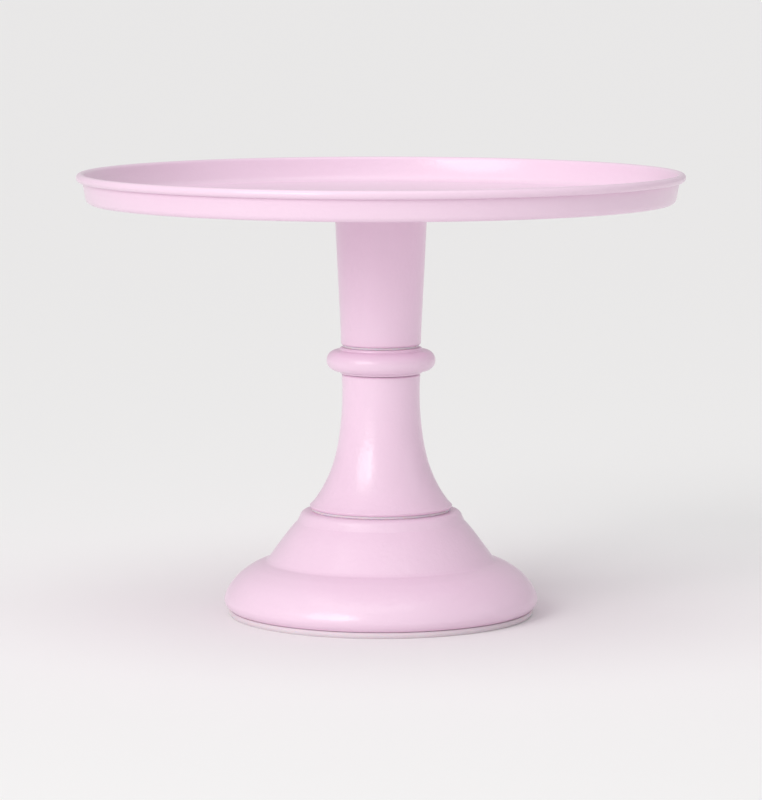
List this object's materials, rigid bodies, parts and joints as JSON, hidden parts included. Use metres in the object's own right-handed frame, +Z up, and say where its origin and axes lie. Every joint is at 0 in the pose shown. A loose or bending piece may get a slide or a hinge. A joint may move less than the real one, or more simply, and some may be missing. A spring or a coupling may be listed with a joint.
{
  "type": "cake stand",
  "caption": "Knock-down pedestal cake stand: shallow round plate with upturned rim on a flared column with a bead collar, screwed to a hollow bell foot.",
  "frame": {"origin": "centre of the stand's footprint, on the surface it stands on", "axes": "+Z up along the stand's axis of revolution; X and Y are level, and +Y passes through one of the three screws in the foot"},
  "size_m": [0.3, 0.3, 0.22],
  "materials": {
    "pink_coat": "pale pink powder coat, satin",
    "zinc_steel": "zinc plated, bright",
    "turned_brass": "turned",
    "cast_aluminium": "machined casting",
    "clear_silicone": "milky silicone, matt",
    "white_rubber": "moulded, matt"
  },
  "bodies": {
    "foot": {"foot_bell": "pink_coat", "foot_ring": "white_rubber", "foot_boss": "cast_aluminium", "boss_screw_1": "zinc_steel", "boss_screw_2": "zinc_steel", "boss_screw_3": "zinc_steel"},
    "foot_washer_lift": {"foot_washer": "clear_silicone"},
    "lower_section": {"lower_column": "pink_coat", "lower_bottom_plug": "cast_aluminium", "lower_stud": "zinc_steel", "lower_stud_nut": "zinc_steel", "lower_top_plug": "turned_brass", "collar_ring": "pink_coat"},
    "collar_washer_lift": {"collar_washer": "clear_silicone"},
    "upper_section": {"upper_column": "pink_coat", "upper_bottom_plug": "cast_aluminium", "middle_stud": "zinc_steel", "middle_stud_nut": "zinc_steel", "upper_top_plug": "turned_brass"},
    "plate_washer_lift": {"plate_washer": "clear_silicone"},
    "plate_section": {"plate": "pink_coat", "plate_hub": "cast_aluminium", "plate_stud": "zinc_steel"}
  },
  "joints": [
    {"name": "pedestal_rise", "type": "slide", "parent": "foot", "child": "foot_washer_lift", "axis": [0, 0, 1], "range_m": [0, 0.0121]},
    {"name": "pedestal_unscrew", "type": "hinge", "parent": "foot_washer_lift", "child": "lower_section", "pos_m": [0, 0, 0.0533], "axis": [0, 0, 1], "range_deg": [0, 2880]},
    {"name": "column_rise", "type": "slide", "parent": "lower_section", "child": "collar_washer_lift", "axis": [0, 0, 1], "range_m": [0, 0.0121]},
    {"name": "column_unscrew", "type": "hinge", "parent": "collar_washer_lift", "child": "upper_section", "pos_m": [0, 0, 0.1348], "axis": [0, 0, 1], "range_deg": [0, 2880]},
    {"name": "plate_rise", "type": "slide", "parent": "upper_section", "child": "plate_washer_lift", "axis": [0, 0, 1], "range_m": [0, 0.0121]},
    {"name": "plate_unscrew", "type": "hinge", "parent": "plate_washer_lift", "child": "plate_section", "pos_m": [0, 0, 0.205], "axis": [0, 0, 1], "range_deg": [0, 2880]}
  ],
  "couplings": [
    {"joint": "pedestal_rise", "follows": "pedestal_unscrew", "m_per_rad": 0.00023873},
    {"joint": "column_rise", "follows": "column_unscrew", "m_per_rad": 0.00023873},
    {"joint": "plate_rise", "follows": "plate_unscrew", "m_per_rad": 0.00023873}
  ]
}
